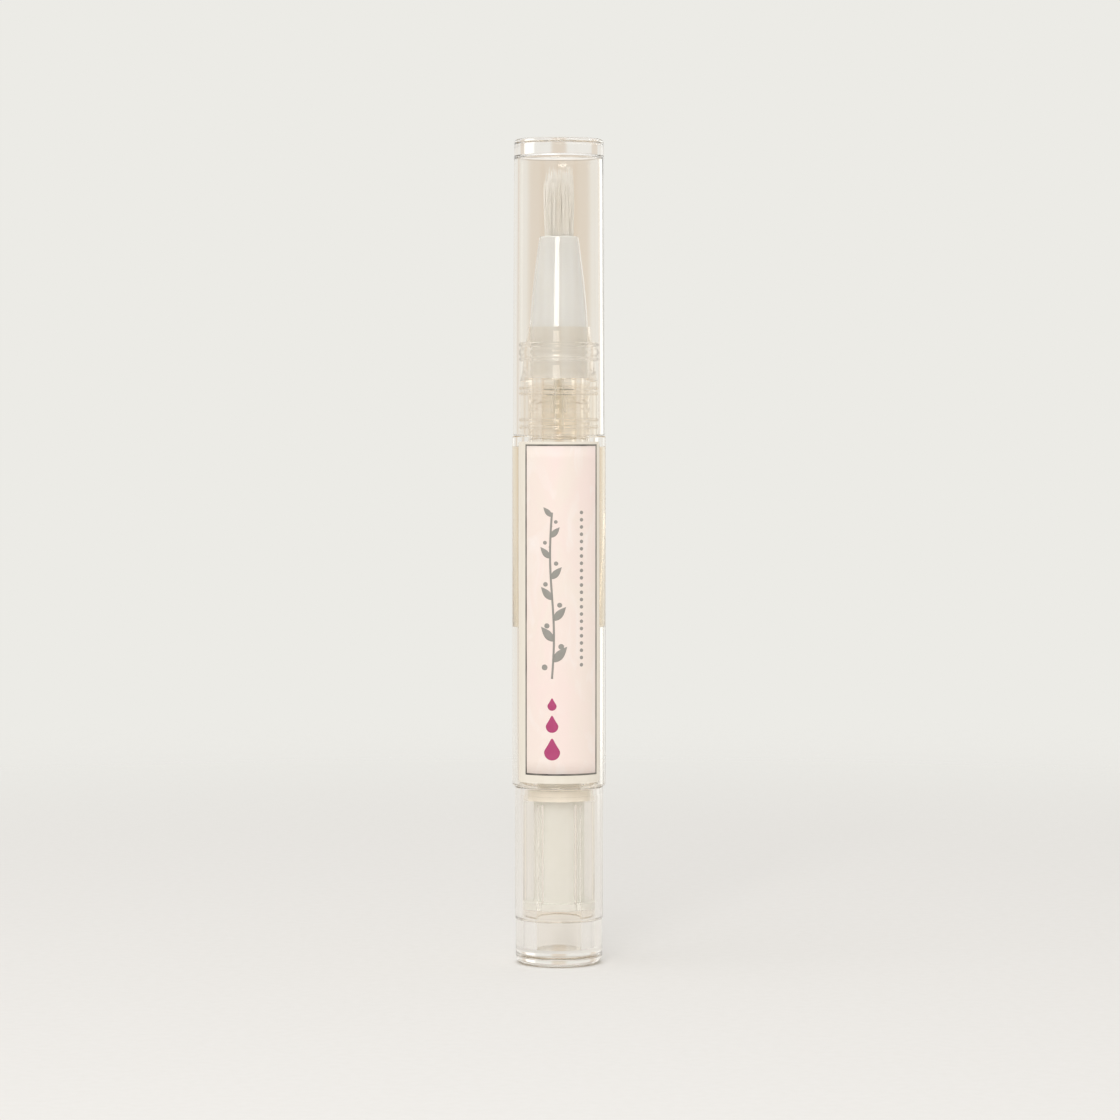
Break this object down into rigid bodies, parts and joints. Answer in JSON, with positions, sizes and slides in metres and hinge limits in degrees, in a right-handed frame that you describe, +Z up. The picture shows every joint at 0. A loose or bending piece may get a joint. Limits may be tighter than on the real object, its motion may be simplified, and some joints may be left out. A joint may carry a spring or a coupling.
{
  "type": "nail oil pen",
  "caption": "Clear twist-up nail oil pen: push-on cap over a brush, labelled barrel with oil and piston, and a knob at the tail that drives the piston by a screw.",
  "frame": {"origin": "centre of the tail plug's flat base, on the pen's axis", "axes": "+Z up the pen's axis towards the cap; the label faces -Y"},
  "size_m": [0.0136, 0.0137, 0.12],
  "materials": {
    "clear_plastic": "clear moulded styrene copolymer, polished mould",
    "label_film": "printed polypropylene film, satin",
    "frosted_plastic": "milky moulded polypropylene, satin",
    "bristle": "white nylon filament",
    "oil": "clear pale oil",
    "natural_plastic": "unpigmented polyethylene, cloudy",
    "white_plastic": "white moulded acetal, smooth"
  },
  "bodies": {
    "barrel": {"barrel": "clear_plastic", "label": "label_film", "neck_collar": "clear_plastic", "flow_plug": "natural_plastic", "feed_tube": "natural_plastic", "brush_cone": "frosted_plastic", "brush_root": "bristle", "brush_tuft": "bristle", "oil_charge": "oil", "lead_nut": "white_plastic", "end_bush": "clear_plastic", "ratchet_ring": "white_plastic"},
    "cap": {"cap": "clear_plastic"},
    "knob": {"knob": "clear_plastic", "tail_plug": "clear_plastic", "drive_sleeve": "natural_plastic", "pawl_ring": "white_plastic"},
    "screw_rod": {"screw_rod": "natural_plastic"},
    "piston": {"piston": "natural_plastic"}
  },
  "joints": [
    {"name": "cap_pull", "type": "slide", "parent": "barrel", "child": "cap", "axis": [0, 0, 1], "range_m": [0, 0.045]},
    {"name": "knob_turn", "type": "hinge", "parent": "barrel", "child": "knob", "pos_m": [0, 0, 0.026], "axis": [0, 0, 1], "range_deg": [0, 4680], "deforming": ["pawl_ring"]},
    {"name": "rod_feed", "type": "slide", "parent": "knob", "child": "screw_rod", "axis": [0, 0, 1], "range_m": [0, 0.026]},
    {"name": "piston_feed", "type": "slide", "parent": "barrel", "child": "piston", "axis": [0, 0, 1], "range_m": [0, 0.026], "deforming": ["oil_charge"]}
  ],
  "couplings": [
    {"joint": "rod_feed", "follows": "knob_turn", "m_per_rad": 0.00031831},
    {"joint": "piston_feed", "follows": "knob_turn", "m_per_rad": 0.00031831}
  ]
}
